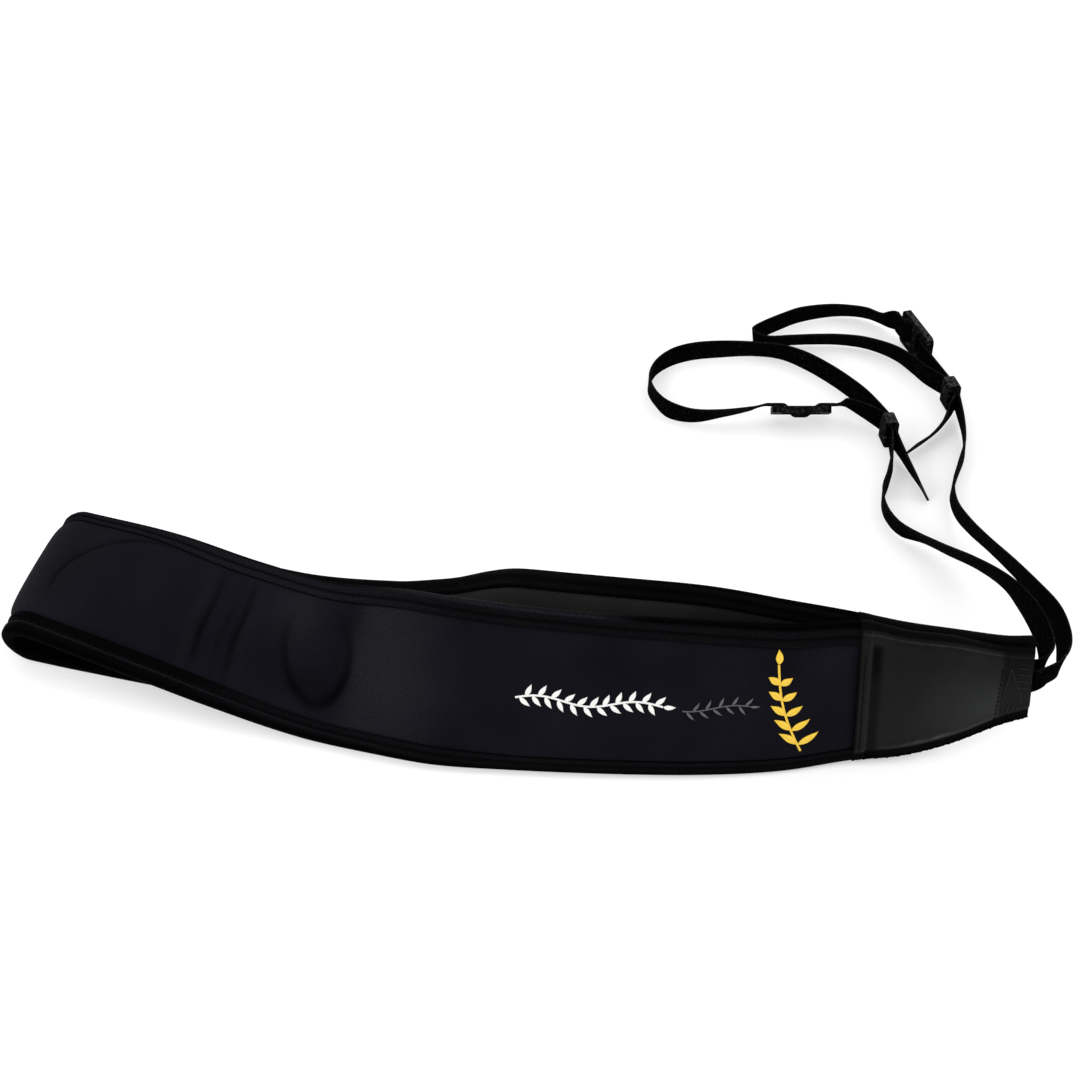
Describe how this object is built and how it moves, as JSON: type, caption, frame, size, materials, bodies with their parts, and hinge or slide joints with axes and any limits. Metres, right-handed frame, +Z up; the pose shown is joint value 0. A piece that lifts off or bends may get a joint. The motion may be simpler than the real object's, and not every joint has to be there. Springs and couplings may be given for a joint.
{
  "type": "camera neck strap",
  "caption": "Padded black camera neck strap, folded over, with bound edges, leather ends and thin adjustable webbing loops, lying on a table.",
  "frame": {"origin": "bottom centre of the bounding box, on the table", "axes": "+Z up from the table; +X from the band's fold to its leather ends; -Y is the front run's outer face"},
  "size_m": [0.3959, 0.2829, 0.0642],
  "materials": {
    "foam_face": "smooth knitted face on foam rubber",
    "pad_lining": "brushed loop cloth",
    "edge_binding": "ribbed tape",
    "leather": "satin, fine grain",
    "webbing": "tight flat weave",
    "plastic": "semi-gloss moulded"
  },
  "bodies": {
    "root": {"neck_pad": "foam_face", "pad_lining": "pad_lining", "binding_lower": "edge_binding", "binding_upper": "edge_binding", "leather_front_outer": "leather", "leather_front_liner": "leather", "leather_back_outer": "leather", "leather_back_liner": "leather", "webbing_outer": "webbing", "webbing_inner": "webbing", "keeper_outer": "plastic", "keeper_inner": "plastic", "buckle_outer": "plastic", "buckle_inner": "plastic"}
  },
  "joints": []
}
